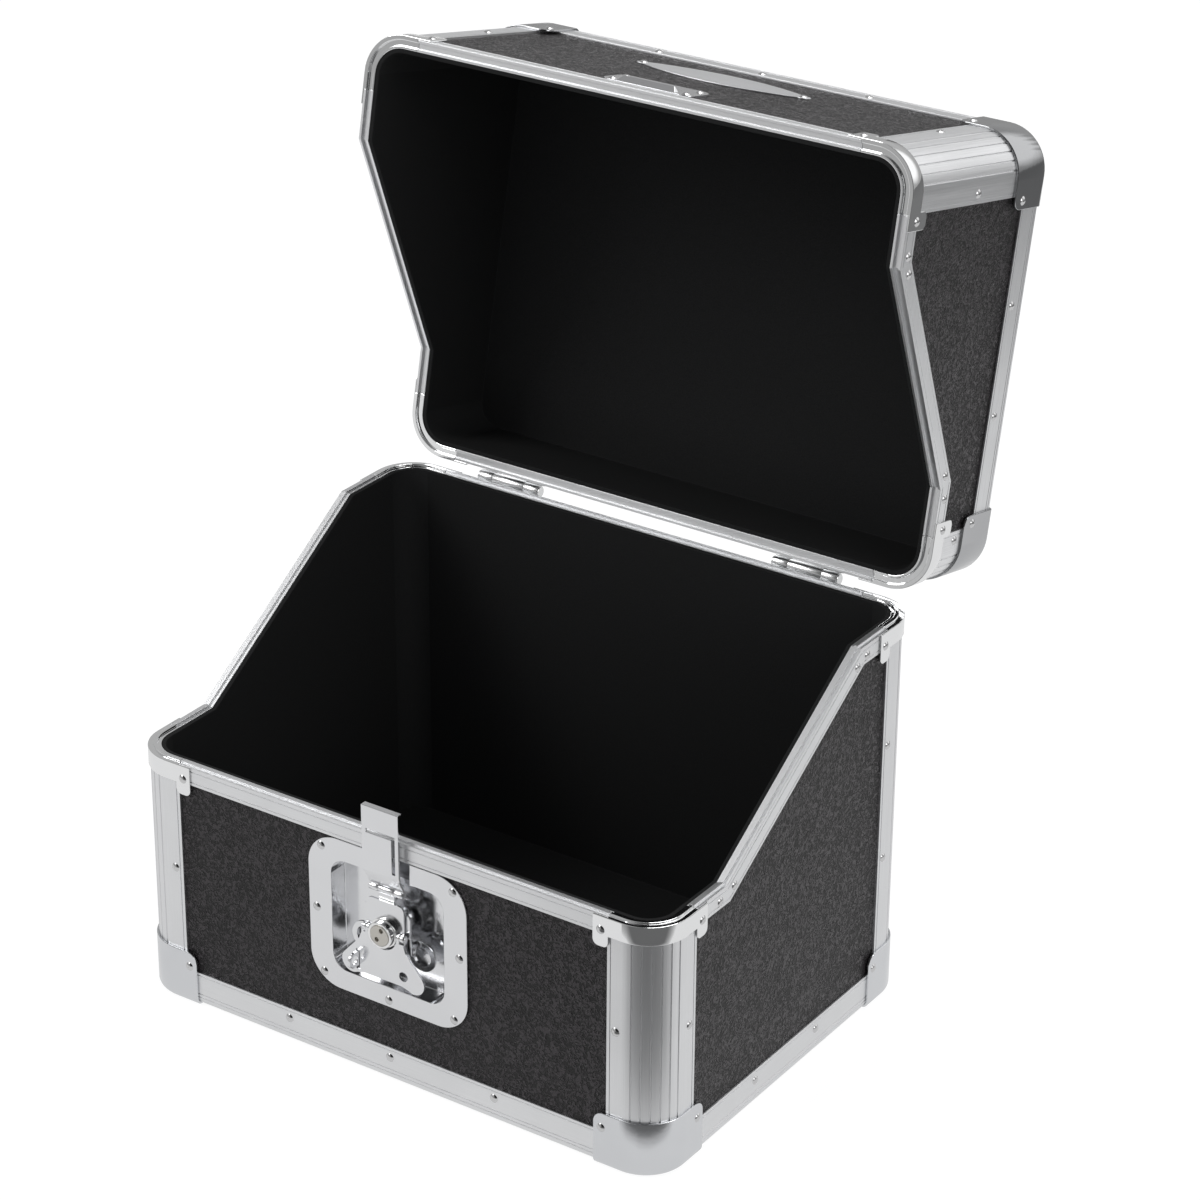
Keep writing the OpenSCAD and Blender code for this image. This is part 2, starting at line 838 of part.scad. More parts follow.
module latch_dish() {
  color("gainsboro") difference() {
    union() {
      along_y(front_y - dish_t, front_y) translate([0, dish_z])
        rounded_rect(dish_w, dish_h, dish_r);
      intersection() {
        dish_room(dish_t);
        translate([-dish_w / 2, front_y - dish_t / 2, dish_z - dish_h / 2])
          cube([dish_w, recess_d + 2 * dish_t, dish_h]);
      }
    }
    dish_room(0);
    layer(-2 * recess_d, 0) circle(spindle_r + turn_gap);
  }
}

module latch_dish_rivets() {
  x = dish_w / 2 - 5.6;
  z = dish_h / 2 - 8.2;
  color("gainsboro") {
    both_sides() {
      rivet_front(x - 4.4, dish_z + z, dish_t);
      rivet_front(x, dish_z, dish_t);
      rivet_front(x - 4.4, dish_z - z, dish_t);
    }
    rivet_front(0, dish_z - dish_h / 2 + 4.6, dish_t);
  }
}

// ---- rotor, lock and hasp ----

module ear_places() {
  for (side = [-1, 1])
    translate([side * ear_x, -ear_z]) children();
}

module rotor_plate_outline() {
  circle(lock_r + 2);
  ear_places() circle(ear_r);
  translate([-ear_x, -ear_z - 5]) square([2 * ear_x, 13]);
  translate([eye_x - 3, eye_z - 5]) square([6, 10]);
}

// Padlock eye, bent forwards from the left ear
module rotor_eye() {
  along_x(eye_x - eye_t / 2, eye_x + eye_t / 2) difference() {
    union() {
      translate([front_y - eye_out + eye_h / 2, turn_z + eye_z - eye_h / 2])
        square([eye_out - eye_h / 2 - plate_out + hasp_t / 2, eye_h]);
      translate([front_y - eye_out + eye_h / 2, turn_z + eye_z]) circle(eye_h / 2);
    }
    translate([front_y - eye_out + eye_h / 2, turn_z + eye_z]) circle(eye_hole_r);
  }
}

module latch_rotor() {
  cup_back = plate_out - hasp_t - ear_cup_d;
  color("lightgray") {
    difference() {
      union() {
        layer(plate_out - hasp_t, plate_out) rotor_plate_outline();
        layer(cup_back, plate_out - hasp_t) ear_places() circle(ear_cup_r + hasp_t);
        layer(-recess_d - dish_t - 0.1, yoke_in - 0.2) circle(spindle_r);
        layer(yoke_in - 0.2, yoke_out + 0.2) translate([0, -cam_e]) circle(cam_r);
      }
      layer(plate_out - ear_cup_d, plate_out + 1) ear_places() circle(ear_cup_r);
      layer(stub_in, yoke_out + 1) circle(stub_r);
    }
    rotor_eye();
  }
}

// Ring that holds the spindle behind the dish
module latch_spindle_ring() {
  color("silver") layer(-recess_d - dish_t - 1.6, -recess_d - dish_t - 0.1) difference() {
    circle(spindle_r + 3);
    circle(spindle_r - 2);
  }
}

module lock_cylinder() {
  color("silver") difference() {
    union() {
      layer(stub_in, yoke_out + 0.3) circle(stub_r);
      layer(yoke_out + 0.2, leaf_in + hasp_t + 2.2) circle(lock_r);
      layer(leaf_in + hasp_t + 2, lock_out) circle(lock_face_r);
    }
    layer(leaf_in + hasp_t, lock_out + 1) circle(plug_r + turn_gap);
  }
}

module lock_plug() {
  color("gray") difference() {
    layer(leaf_in + hasp_t + 0.05, lock_out + 0.2) circle(plug_r);
    layer(lock_out - 2, lock_out + 1) {
      translate([1.3, 3.6]) circle(1.4);
      translate([-2, -3]) circle(1.4);
    }
  }
}

// Knuckle of the hasp on the right
module hasp_knuckle(x0, x1) {
  along_x(x0, x1) translate([front_y - hasp_axis_out, turn_z]) difference() {
    circle(hasp_knuckle_r);
    circle(hasp_pin_r + pin_gap);
  }
}

module hasp_leaf() {
  color("gainsboro") {
    difference() {
      layer(leaf_in, leaf_in + hasp_t) translate([0, (leaf_up - 12.5) / 2])
        rounded_rect(2 * leaf_half, leaf_up + 12.5, 4);
      layer(leaf_in - 1, leaf_in + hasp_t + 1) {
        circle(lock_r);
        square([2 * leaf_half + 2, 2 * hasp_knuckle_r + 0.8], center = true);
      }
    }
    both_sides() {
      hasp_knuckle(12.6, 15.2);
      difference() {
        layer(leaf_in, leaf_in + hasp_t) translate([12.6, -hasp_knuckle_r - 0.5])
          square([1.2, 2 * hasp_knuckle_r + 1]);
        translate([12, front_y - hasp_axis_out, turn_z]) rotate([0, 90, 0])
          cylinder(h = 4, r = hasp_pin_r + pin_gap);
      }
    }
  }
}

module flap_outline() {
  c = lobe_r * cos(42);
  s = lobe_r * sin(42);
  polygon([
    [-12.4, 0], [12.4, 0], [15.5, -3.5], [17.2, -8.5], [lobe_x + c, s - lobe_z],
    [lobe_x, -lobe_z - lobe_r], [14, -31.5], [-14, -31.5], [-lobe_x, -lobe_z - lobe_r],
    [-lobe_x - c, s - lobe_z], [-17.2, -8.5], [-15.5, -3.5]
  ]);
  for (side = [-1, 1])
    translate([side * lobe_x, -lobe_z]) circle(lobe_r);
}

module hasp_flap() {
  color("gainsboro") {
    difference() {
      layer(hasp_out - hasp_t, hasp_out) difference() {
        flap_outline();
        circle(lock_r + 1);
        translate([15.3, -24.5]) circle(flap_hole_r);
        translate([eye_x - eye_t / 2 - 0.3, -30.5]) square([eye_t + 0.6, 14]);
        for (side = [-1, 1])
          translate([side * 14.4 - 1.95, -hasp_knuckle_r - 0.4]) square([3.9, 4]);
      }
      translate([-20, front_y - hasp_axis_out, turn_z]) rotate([0, 90, 0])
        cylinder(h = 40, r = hasp_pin_r + pin_gap);
    }
    both_sides() hasp_knuckle(9.9, 12.4);
  }
}

module hasp_pins() {
  color("silver") both_sides() {
    along_x(9.9, 15.2) translate([front_y - hasp_axis_out, turn_z]) circle(hasp_pin_r);
    along_x(15.2, 15.8) translate([front_y - hasp_axis_out, turn_z]) circle(hasp_pin_r + 0.6);
  }
}

// ---- yoke and tongue ----

// Knuckle on the tongue's hinge
module rock_knuckle(x0, x1) {
  along_x(x0, x1) translate([front_y - rock_out, rock_z]) difference() {
    circle(rock_r);
    circle(rock_pin_r + pin_gap);
  }
}

module rock_bore() {
  translate([-tongue_w, front_y - rock_out, rock_z]) rotate([0, 90, 0])
    cylinder(h = 2 * tongue_w, r = rock_pin_r + pin_gap);
}

module latch_yoke() {
  window_w = 2 * (cam_e + cam_r) + 0.6;
  window_h = 2 * (cam_r + cam_gap);
  color("lightgray") {
    difference() {
      layer(yoke_in, yoke_out) difference() {
        union() {
          translate([0, -1.5]) rounded_rect(yoke_w, 33, 3);
          translate([-5.8, 10]) square([11.6, rock_up - 10]);
        }
        translate([0, -cam_e]) square([window_w, window_h], center = true);
      }
      rock_bore();
    }
    rock_knuckle(-5.8, 5.8);
  }
}

module tongue_pin() {
  color("silver") along_x(-tongue_w / 2 + 0.6, tongue_w / 2 - 0.6)
    translate([front_y - rock_out, rock_z]) circle(rock_pin_r);
}

// Side view of the tongue, given as (distance out, height)
module tongue_section() {
  low = yoke_in;
  polygon([
    [low, rock_z], [low + latch_t, rock_z], [low + latch_t, rock_z + 3], [tongue_out, shank_z],
    [tongue_out, tip_z], [tongue_out - hook_len, tip_z], [tongue_out - hook_len, tip_z - latch_t],
    [tongue_out - latch_t, tip_z - latch_t], [tongue_out - latch_t, shank_z + 0.4], [low, rock_z + 3.4]
  ]);
}

module latch_tongue() {
  half = tongue_w / 2;
  color("lightgray") {
    difference() {
      along_x(-half, half) translate([front_y, 0]) mirror([1, 0]) tongue_section();
      // Narrower neck below the shank
      both_sides() translate([half - 1, front_y - 20, rock_z - 5])
        cube([5, 40, shank_z - rock_z + 3]);
      // Room for the yoke's knuckle
      translate([-6, front_y - 20, rock_z - 5]) cube([12, 40, 5 + rock_r + 0.4]);
      // Slot round the spring finger
      translate([3 - half, front_y - 20, tip_z - 17.6]) cube([tongue_w - 5.6, 40, 2.4]);
      translate([half - 5, front_y - 20, shank_z + 2.5])
        cube([2.4, 40, tip_z - 15.2 - shank_z - 2.5]);
      rock_bore();
    }
    both_sides() rock_knuckle(6, half - 1);
  }
}

// ---- hinges ----

// Leaf of a hinge below the hinge axis, given as (distance out, height), its top edge at top
module leaf_section(rim_low, top) {
  bend = rim_low - 0.3;
  polygon([
    [0, hinge_z - hinge_leaf_h], [0, bend - 1.6], [skin_t, bend], [skin_t, top],
    [skin_t + hinge_t, top], [skin_t + hinge_t, bend - 0.6], [hinge_t, bend - 2.2],
    [hinge_t, hinge_z - hinge_leaf_h]
  ]);
}

module hinge_knuckle(x0, x1) {
  along_x(x0, x1) translate([hinge_y, hinge_z]) difference() {
    circle(knuckle_r);
    circle(hinge_pin_r + pin_gap);
  }
}

module hinge_places() {
  for (x = [-hinge_x, hinge_x])
    translate([x, 0, 0]) children();
}

hinge_mid = hinge_w / 4 + 0.5;

module hinge_base_leaves() {
  clear = hinge_z - knuckle_r - 0.5;
  color("silver") hinge_places() {
    along_x(-hinge_w / 2, hinge_w / 2) translate([rear_y, 0])
      leaf_section(rear_h - rim_h, clear);
    both_sides() {
      along_x(hinge_mid + 0.2, hinge_w / 2) translate([rear_y + skin_t, clear - 1])
        square([hinge_t, knuckle_r + 1.2]);
      hinge_knuckle(hinge_mid + 0.2, hinge_w / 2);
    }
  }
}

// Leaves on the lid, drawn on the shut case
module hinge_lid_leaves_shut() {
  clear = hinge_z - knuckle_r - 0.5;
  hinge_places() {
    translate([0, 0, 2 * hinge_z]) mirror([0, 0, 1]) {
      along_x(-hinge_w / 2, hinge_w / 2) translate([rear_y, 0])
        leaf_section(2 * hinge_z - lid_rear_h - rim_h, clear);
      along_x(-hinge_mid, hinge_mid) translate([rear_y + skin_t, clear - 1])
        square([hinge_t, knuckle_r + 1.2]);
    }
    hinge_knuckle(-hinge_mid, hinge_mid);
  }
}

module hinge_lid_leaves() {
  color("silver") {
    lid_place() hinge_lid_leaves_shut();
    // Stop lugs, which lie against the base's leaves when the lid stands open
    hinge_places() difference() {
      along_x(1 - hinge_mid, hinge_mid - 1)
        translate([rear_y + skin_t + hinge_t + 0.04, hinge_z - lug_h]) square([lug_t, lug_h]);
      translate([-hinge_w, hinge_y, hinge_z]) rotate([0, 90, 0])
        cylinder(h = 2 * hinge_w, r = knuckle_r - 0.5);
    }
  }
}

module hinge_pins() {
  color("gray") hinge_places() {
    along_x(-hinge_w / 2, hinge_w / 2) translate([hinge_y, hinge_z]) circle(hinge_pin_r);
    both_sides() along_x(hinge_w / 2, hinge_w / 2 + 0.8)
      translate([hinge_y, hinge_z]) circle(knuckle_r - 0.8);
  }
}

module hinge_base_rivets() {
  color("gainsboro") hinge_places()
    for (i = [-1:1])
      rivet_rear(i * hinge_rivet_step, hinge_z - hinge_leaf_h + hinge_rivet_in, hinge_t);
}

module hinge_lid_rivets() {
  color("gainsboro") lid_place() hinge_places()
    for (i = [-1:1])
      rivet_rear(i * hinge_rivet_step, hinge_z + hinge_leaf_h - hinge_rivet_in, hinge_t);
}

// ---- panels, lining and edging of the lid ----

module lid_front_panel() {
  z0 = lid_front_h + lid_web;
  color("dimgray") lid_place() translate([corner_r - side_x, front_y, z0])
    cube([case_w - 2 * corner_r, panel_t, roof_z - z0]);
}

module lid_rear_panel() {
  z0 = lid_rear_h + lid_web;
  color("dimgray") lid_place() translate([corner_r - side_x, rear_y - panel_t, z0])
    cube([case_w - 2 * corner_r, panel_t, roof_z - z0]);
}

module lid_right_panel() {
  color("dimgray") lid_place() translate([0, 0, rim_gap]) along_x(side_x - panel_t, side_x)
    above_parting(lid_web, front_y + corner_r, rear_y - corner_r, roof_z - rim_gap);
}

module lid_left_panel() {
  mirror([1, 0, 0]) lid_right_panel();
}

module lid_top_panel() {
  color("dimgray") lid_place() translate([0, 0, roof_z - panel_t])
    linear_extrude(panel_t) plan(panel_t);
}

module lid_lining() {
  top = roof_z - panel_t;
  color("black") lid_place() {
    intersection() {
      lining_wall(front_h, top);
      translate([0, 0, rim_gap]) along_x(-side_x, side_x)
        above_parting(lining_drop, front_y, rear_y, case_h);
    }
    translate([0, 0, top - floor_lining_t]) linear_extrude(floor_lining_t) plan(wall_t);
  }
}

module lid_posts_front() {
  color("silver") lid_place() front_corners()
    post(lid_front_h + lid_web, case_h - cup_round);
}

module lid_posts_rear() {
  color("silver") lid_place() rear_corners() post(lid_rear_h + lid_web, case_h - cup_round);
}

module lid_edges_long() {
  lid_place() upside_down() both_ends() edge_long();
}

module lid_edges_short() {
  lid_place() upside_down() both_sides() edge_short();
}

module lid_cups() {
  lid_place() upside_down() {
    front_corners() cup();
    rear_corners() cup();
  }
}

module lid_rim_front() {
  color("silver") lid_place() along_x(-rim_x, rim_x)
    translate([front_y, lid_front_h]) mirror([0, 1]) lid_rim_section();
}

module lid_rim_rear() {
  color("silver") lid_place() mirror([0, 1, 0]) along_x(-rim_x, rim_x)
    translate([front_y, lid_rear_h]) mirror([0, 1]) lid_rim_section();
}

module lid_rim_right() {
  lid_place() lid_rim_side();
}

module lid_rim_left() {
  lid_place() mirror([1, 0, 0]) lid_rim_side();
}

module lid_rim_corners() {
  lid_place() {
    front_corners() translate([0, 0, lid_front_h]) mirror([0, 0, 1]) lid_clip();
    rear_corners() translate([0, 0, lid_rear_h]) mirror([0, 0, 1]) lid_clip();
  }
}

module lid_rivets() {
  cup_z = case_h - cup_rivet_up;
  edge_z = case_h - edge_rivet_up;
  front_post_z = (front_h + case_h) / 2;
  rear_post_z = rear_h + 0.39 * lid_rear_depth;
  color("gainsboro") lid_place() {
    both_sides() {
      rivet_front(case_w / 5, edge_z, skin_t);
      rivet_rear(case_w / 5, edge_z, skin_t);
      rivet_front(side_x - cup_rivet, cup_z, cup_out);
      rivet_rear(side_x - cup_rivet, cup_z, cup_out);
      rivet_front(side_x - post_rivet, front_post_z, skin_t);
      rivet_rear(side_x - post_rivet, rear_post_z, skin_t);
      rivet_front(side_x - ear_rivet, lid_front_h + ear_rivet_drop, clip_out);
      rivet_rear(side_x - ear_rivet, lid_rear_h + ear_rivet_drop, clip_out);
      rivet_side(-case_d / 8, edge_z, skin_t);
      rivet_side(case_d / 8, edge_z, skin_t);
      rivet_side(front_y + cup_rivet, cup_z, cup_out);
      rivet_side(rear_y - cup_rivet, cup_z, cup_out);
      rivet_side(front_y + post_rivet, front_post_z, skin_t);
      rivet_side(rear_y - post_rivet, rear_post_z, skin_t);
      rivet_side(front_y + ear_rivet, lid_front_h + ear_rivet_drop, clip_out);
      rivet_side(rear_y - ear_rivet, lid_rear_h + ear_rivet_drop, clip_out);
      bend_rivets(bend_rivet_drop + rim_gap);
      for (end = [-1, 1])
        rivet_front(keeper_w / 2 - keeper_rivet_in, keeper_z + end * (keeper_h / 2 - keeper_rivet_in),
          latch_t);
      rivet_front(badge_w / 2 - badge_rivet_in, badge_z, badge_t);
      for (end = [-1, 1])
        translate([
          handle_span / 2 + handle_plate_over - handle_rivet_in,
          end * (handle_plate_w / 2 - handle_rivet_in),
          roof_z + handle_plate_t
        ]) rivet_head();
    }
    rivet_front(0, edge_z, skin_t);
    rivet_rear(0, edge_z, skin_t);
  }
}

// ---- keeper and badge on the lid's front, drawn on the shut case ----

keeper_low = lid_front_h + rim_h + keeper_gap;
keeper_z = keeper_low + keeper_h / 2;
badge_z = (lid_front_h + rim_h + roof_z - edge_w) / 2 + badge_up;

// Wedge of the keeper's lip from its foot outwards, drawn thinner by ease for its hollow
module lip_wedge(foot, ease, low, high) {
  half = lip_w / 2 - ease / 2;
  peak = bridge_out - ease;
  intersection() {
    translate([0, 0, low]) linear_extrude(high - low) polygon([
      [-half - lip_flare, front_y - foot], [-half, front_y - peak],
      [half, front_y - peak], [half + lip_flare, front_y - foot]
    ]);
    along_x(-keeper_w / 2, keeper_w / 2) polygon([
      [front_y - foot, low], [front_y - peak, low + 1.2 * (peak - foot)],
      [front_y - peak, high], [front_y - foot, high]
    ]);
  }
}

module latch_keeper() {
  color("gainsboro") lid_place() {
    along_y(front_y - latch_t, front_y) translate([0, keeper_z])
      rounded_rect(keeper_w, keeper_h, keeper_r);
    difference() {
      lip_wedge(latch_t / 2, 0, keeper_low + 0.4, bridge_top);
      lip_wedge(latch_t, lip_t, keeper_low + 2.4, bridge_top + 1);
    }
  }
}

module badge_plate() {
  r = (badge_w * badge_w / 4 + badge_h * badge_h / 4) / badge_h;
  color("silver") lid_place() along_y(front_y - badge_t, front_y) translate([0, badge_z]) {
    intersection() {
      translate([0, badge_h / 2 - r]) circle(r, $fn = 128);
      translate([0, r - badge_h / 2]) circle(r, $fn = 128);
    }
    for (side = [-1, 1])
      translate([side * (badge_w / 2 - badge_rivet_in), 0]) circle(badge_ear_r);
  }
}

// ---- handle on the lid's top, drawn on the shut case ----

handle_z = roof_z + handle_up;

// Inner face of the handle plate's ears
ear_in = handle_span / 2 - bail_r - handle_ear_t - 1.5;

// The handle hangs straight down from the open lid
hang = lid_open - 90;

module handle_plate() {
  color("gainsboro") lid_place() {
    translate([0, 0, roof_z]) linear_extrude(handle_plate_t)
      rounded_rect(handle_span + 2 * handle_plate_over, handle_plate_w, handle_ear_r);
    both_sides() difference() {
      along_x(ear_in, ear_in + handle_ear_t) {
        translate([-handle_ear_r, roof_z + handle_plate_t / 2])
          square([2 * handle_ear_r, handle_up - handle_plate_t / 2]);
        translate([0, handle_z]) circle(handle_ear_r);
      }
      translate([ear_in - 1, 0, handle_z]) rotate([0, 90, 0])
        cylinder(h = handle_ear_t + 2, r = bail_r - 1 + pin_gap);
    }
  }
}

module handle_bail() {
  arm = handle_span / 2;
  bend = 10;
  color("silver") lid_place() translate([0, 0, handle_z]) rotate([hang, 0, 0]) both_sides() {
    translate([ear_in - 1.5, 0, 0]) rotate([0, 90, 0])
      cylinder(h = handle_ear_t + 4, r = bail_r - 1);
    translate([ear_in - 1.5, 0, 0]) rotate([0, 90, 0]) cylinder(h = 1.4, r = bail_r + 0.5);
    translate([ear_in + handle_ear_t + 0.5, 0, 0]) rotate([0, 90, 0])
      cylinder(h = 2 * bail_r + 1, r = bail_r + 2);
    rotate([-90, 0, 0]) translate([arm, 0, 0]) cylinder(h = bail_reach - bend, r = bail_r);
    translate([arm - bend, bail_reach - bend, 0]) rotate_extrude(angle = 90)
      translate([bend, 0]) circle(bail_r);
    translate([0, bail_reach, 0]) rotate([0, 90, 0]) cylinder(h = arm - bend, r = bail_r);
  }
}

module handle_grip() {
  color("dimgray") lid_place() translate([0, 0, handle_z]) rotate([hang, 0, 0])
    translate([0, bail_reach, 0]) rotate([0, 90, 0]) difference() {
      union() {
        cylinder(h = grip_len - 6, r = grip_r, center = true);
        cylinder(h = grip_len, r = grip_r - 3, center = true);
        for (end = [-1, 1])
          translate([0, 0, end * (grip_len / 2 - 3)]) rotate_extrude() translate([grip_r - 3, 0]) circle(3);
      }
      cylinder(h = grip_len + 2, r = bail_r, center = true);
    }
}

stand() base_front_panel();
stand() base_rear_panel();
stand() base_left_panel();
stand() base_right_panel();
stand() base_floor_panel();
stand() base_lining();
stand() base_posts_front();
stand() base_posts_rear();
stand() base_edges_long();
stand() base_edges_short();
stand() base_cups_front();
stand() base_cups_rear();
stand() base_rim_front();
stand() base_rim_rear();
stand() base_rim_left();
stand() base_rim_right();
stand() base_rim_corners();
stand() base_rivets();
stand() latch_dish();
stand() latch_dish_rivets();
stand() latch_rotor();
stand() latch_spindle_ring();
stand() latch_yoke();
stand() latch_tongue();
stand() tongue_pin();
stand() lock_cylinder();
stand() lock_plug();
stand() hasp_leaf();
stand() hasp_flap();
stand() hasp_pins();
stand() hinge_base_leaves();
stand() hinge_lid_leaves();
stand() hinge_pins();
stand() hinge_base_rivets();
stand() hinge_lid_rivets();
stand() lid_front_panel();
stand() lid_rear_panel();
stand() lid_left_panel();
stand() lid_right_panel();
stand() lid_top_panel();
stand() lid_lining();
stand() lid_posts_front();
stand() lid_posts_rear();
stand() lid_edges_long();
stand() lid_edges_short();
stand() lid_cups();
stand() lid_rim_front();
stand() lid_rim_rear();
stand() lid_rim_left();
stand() lid_rim_right();
stand() lid_rim_corners();
stand() lid_rivets();
stand() latch_keeper();
stand() badge_plate();
stand() handle_plate();
stand() handle_bail();
stand() handle_grip();
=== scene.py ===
"""Looks of the record carrying case: grained laminate, satin edging, plated corners and latch.

Everything is in metres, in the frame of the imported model: X to the right, Y to the rear, Z up.
"""

import math

import bpy
from mathutils import Euler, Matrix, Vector

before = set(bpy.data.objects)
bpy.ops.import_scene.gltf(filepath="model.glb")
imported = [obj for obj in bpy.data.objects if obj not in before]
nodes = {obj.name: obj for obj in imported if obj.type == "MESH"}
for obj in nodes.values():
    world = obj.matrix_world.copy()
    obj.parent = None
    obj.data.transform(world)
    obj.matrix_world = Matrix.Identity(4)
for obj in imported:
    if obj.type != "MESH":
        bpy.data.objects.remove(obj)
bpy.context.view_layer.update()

MM = 0.001

# ---- camera, at the angle of the photograph ----

CAMERA_PLACE = Vector((1.18904, -1.73171, 1.27990))
# Angles in degrees
CAMERA_AZIMUTH = 34.132
CAMERA_ELEVATION = 26.251
CAMERA_ROLL = 0.387
# Millimetres
CAMERA_LENS = 113.97
CAMERA_SENSOR = 36


def make_camera():
    azimuth = math.radians(CAMERA_AZIMUTH)
    elevation = math.radians(CAMERA_ELEVATION)
    back = Vector(
        (
            math.sin(azimuth) * math.cos(elevation),
            -math.cos(azimuth) * math.cos(elevation),
            math.sin(elevation),
        )
    )
    data = bpy.data.cameras.new("camera")
    data.lens = CAMERA_LENS
    data.sensor_width = CAMERA_SENSOR
    camera = bpy.data.objects.new("camera", data)
    bpy.context.scene.collection.objects.link(camera)
    level = (-back).to_track_quat("-Z", "Y")
    roll = Euler((0, 0, math.radians(CAMERA_ROLL))).to_quaternion()
    camera.location = CAMERA_PLACE
    camera.rotation_mode = "QUATERNION"
    camera.rotation_quaternion = level @ roll
    bpy.context.scene.camera = camera


# ---- building blocks for materials ----


def new_group(name, inputs, outputs):
    """An empty node group with float or vector inputs and outputs."""
    group = bpy.data.node_groups.new(name, "ShaderNodeTree")
    for label, kind, value in inputs:
        socket = group.interface.new_socket(name=label, in_out="INPUT", socket_type=kind)
        socket.default_value = value
    for label, kind in outputs:
        group.interface.new_socket(name=label, in_out="OUTPUT", socket_type=kind)
    start = group.nodes.new("NodeGroupInput")
    end = group.nodes.new("NodeGroupOutput")
    return group, start, end


def math_node(tree, operation, first, second=None, clamp=False):
    """One sum of arithmetic; each side is a number or another node's output."""
    node = tree.nodes.new("ShaderNodeMath")
    node.operation = operation
    node.use_clamp = clamp
    for socket, value in zip(node.inputs, (first, second)):
        if value is None:
            continue
        if isinstance(value, (int, float)):
            socket.default_value = value
        else:
            tree.links.new(value, socket)
    return node.outputs[0]


def rise(tree, value, start, steepness):
    """A mask that stays 0 up to start and climbs to 1 from there."""
    over = math_node(tree, "SUBTRACT", value, start)
    return math_node(tree, "MULTIPLY", over, steepness, clamp=True)


def add_shares(tree, base, *shares):
    """The base plus each mask times its share."""
    total = base
    for mask, share in shares:
        total = math_node(tree, "ADD", total, math_node(tree, "MULTIPLY", mask, share))
    return total


def ramp(tree, factor, stops):
    """A colour ramp; stops are (position, (r, g, b)) or (position, grey)."""
    node = tree.nodes.new("ShaderNodeValToRGB")
    elements = node.color_ramp.elements
    while len(elements) < len(stops):
        elements.new(0.5)
    for element, (place, colour) in zip(elements, stops):
        element.position = place
        if isinstance(colour, (int, float)):
            colour = (colour, colour, colour)
        element.color = (*colour, 1)
    tree.links.new(factor, node.inputs["Fac"])
    return node.outputs["Color"]


def mix_colour(tree, factor, first, second):
    """The first colour where the factor is 0, the second where it is 1."""
    node = tree.nodes.new("ShaderNodeMix")
    node.data_type = "RGBA"
    tree.links.new(factor, node.inputs["Factor"])
    for socket, value in ((node.inputs["A"], first), (node.inputs["B"], second)):
        if isinstance(value, tuple):
            socket.default_value = (*value, 1)
        else:
            tree.links.new(value, socket)
    return node.outputs["Result"]


def noise(tree, vector, scale, detail=2.0, distortion=0.0, roughness=0.5):
    """Cloudy noise; the scale is about its number of spots to the metre."""
    node = tree.nodes.new("ShaderNodeTexNoise")
    node.inputs["Detail"].default_value = detail
    node.inputs["Distortion"].default_value = distortion
    node.inputs["Roughness"].default_value = roughness
    if isinstance(scale, (int, float)):
        node.inputs["Scale"].default_value = scale
    else:
        tree.links.new(scale, node.inputs["Scale"])
    tree.links.new(vector, node.inputs["Vector"])
    return node.outputs["Fac"]


def object_place(tree):
    return tree.nodes.new("ShaderNodeTexCoord").outputs["Object"]


def mapped(tree, vector, scale, turn=(0, 0, 0)):
    """The place, first turned and then scaled."""
    turned = tree.nodes.new("ShaderNodeMapping")
    turned.inputs["Rotation"].default_value = turn
    tree.links.new(vector, turned.inputs["Vector"])
    scaled = tree.nodes.new("ShaderNodeMapping")
    scaled.inputs["Scale"].default_value = scale
    tree.links.new(turned.outputs[0], scaled.inputs["Vector"])
    return scaled.outputs[0]


RIDGE_SCALE = 360.0
TOOTH_SCALE = 1900.0
SWELL_SCALE = 120.0
# Heights of the tooth and of the swell, where a ridge is 1 high
TOOTH_HEIGHT = 0.04
SWELL_HEIGHT = 0.6


def make_grain_group():
    """Embossed worm-like grain: short crooked ridges on a slow swell, with a fine tooth."""
    group, start, end = new_group(
        "embossed grain",
        [("Vector", "NodeSocketVector", (0, 0, 0)), ("Ridge scale", "NodeSocketFloat", RIDGE_SCALE)],
        [("Height", "NodeSocketFloat"), ("Ridge", "NodeSocketFloat"), ("Tooth", "NodeSocketFloat")],
    )
    place = start.outputs["Vector"]
    spacing = start.outputs["Ridge scale"]
    worms = noise(group, place, spacing, detail=1.0, distortion=1.5, roughness=0.4)
    ridge = rise(group, worms, start=0.40, steepness=5.5)
    tooth = noise(group, place, TOOTH_SCALE, roughness=0.6)
    swell = noise(group, place, SWELL_SCALE, detail=1.0, distortion=0.6)
    height = add_shares(group, ridge, (tooth, TOOTH_HEIGHT), (swell, SWELL_HEIGHT))
    group.links.new(height, end.inputs["Height"])
    group.links.new(ridge, end.inputs["Ridge"])
    group.links.new(tooth, end.inputs["Tooth"])
    return group


SMUDGE_SCALE = 14.0
SCUFF_SCALE = 900.0
SCUFFED_PATCH_SCALE = 45.0


